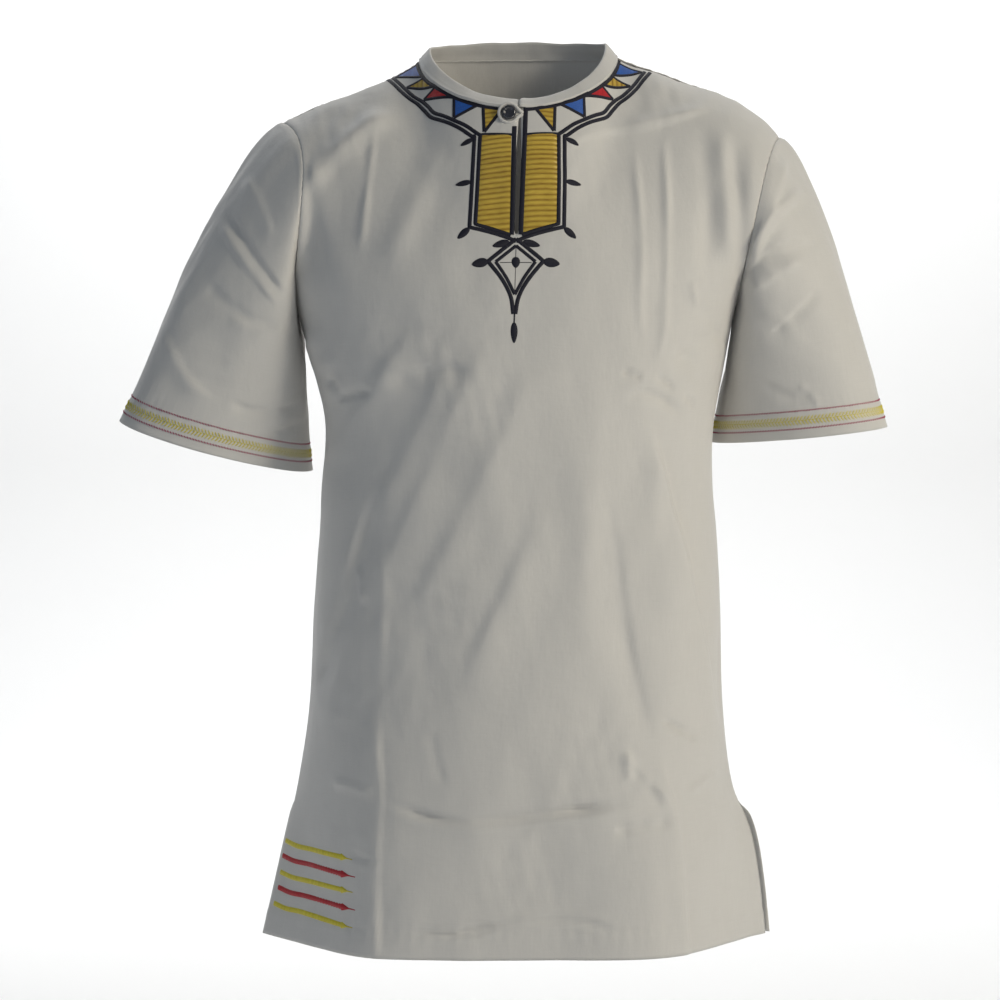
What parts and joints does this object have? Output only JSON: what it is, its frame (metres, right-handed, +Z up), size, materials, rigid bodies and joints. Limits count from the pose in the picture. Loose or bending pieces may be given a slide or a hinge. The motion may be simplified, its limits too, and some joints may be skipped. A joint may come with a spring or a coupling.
{
  "type": "dashiki shirt",
  "caption": "Short-sleeved collarless tunic shirt in its worn, hollow form, with a standing neckband, a front neck slit closed by a loop and button, embroidered trim and side vents.",
  "frame": {"origin": "middle of the neck opening, level with the tops of the neckband's two sides, where the wearer's shoulders carry the shirt", "axes": "+Z up, the front of the shirt faces -Y, +X is the wearer's left"},
  "size_m": [0.7121, 0.261, 0.8362],
  "materials": {
    "cotton": "plain woven cotton with a faint sheen",
    "button": "polished",
    "thread_black": "satin stitch in rayon thread, near black",
    "thread_gold": "satin stitch in rayon thread, gold",
    "thread_blue": "satin stitch in rayon thread, blue",
    "thread_red": "satin stitch in rayon thread, red",
    "thread_yellow": "stitches in rayon thread, yellow",
    "thread_crimson": "stitches in rayon thread, crimson"
  },
  "bodies": {
    "root": {"front_panel": "cotton", "back_panel": "cotton", "sleeve_right": "cotton", "sleeve_left": "cotton", "neckband": "cotton", "button": "button", "button_loop": "cotton"}
  },
  "joints": []
}
